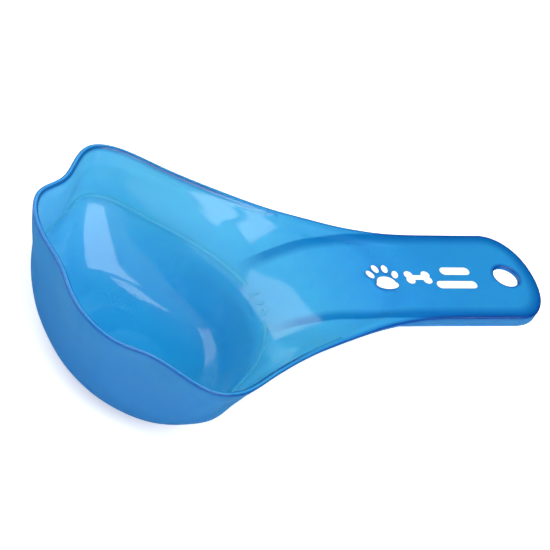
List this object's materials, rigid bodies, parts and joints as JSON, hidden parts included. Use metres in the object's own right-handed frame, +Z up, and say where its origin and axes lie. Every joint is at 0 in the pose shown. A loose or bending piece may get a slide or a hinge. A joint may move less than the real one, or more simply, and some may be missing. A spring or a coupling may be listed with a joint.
{
  "type": "feed scoop",
  "caption": "One-piece moulded feed scoop with a flared, wavy-edged bowl, a flat hollow-backed handle with a hang hole and a raised fill line inside.",
  "frame": {"origin": "on the table under the middle of the scoop's box, the scoop standing level on the flat of its bowl", "axes": "+X from the front lip to the handle's end, +Y to the scoop's left, +Z up out of the bowl"},
  "size_m": [0.2013, 0.1252, 0.0467],
  "materials": {
    "blue_plastic": "translucent light-blue polypropylene, glossy inside and on the handle, satin outside",
    "white_ink": "thin opaque white pad print"
  },
  "bodies": {
    "root": {"scoop_moulding": "blue_plastic", "fill_line": "blue_plastic", "fill_numerals": "blue_plastic", "print_paw_pad": "white_ink", "print_paw_toe_1": "white_ink", "print_paw_toe_2": "white_ink", "print_paw_toe_3": "white_ink", "print_paw_toe_4": "white_ink", "print_bone": "white_ink", "print_bar_upper": "white_ink", "print_bar_lower": "white_ink"}
  },
  "joints": []
}
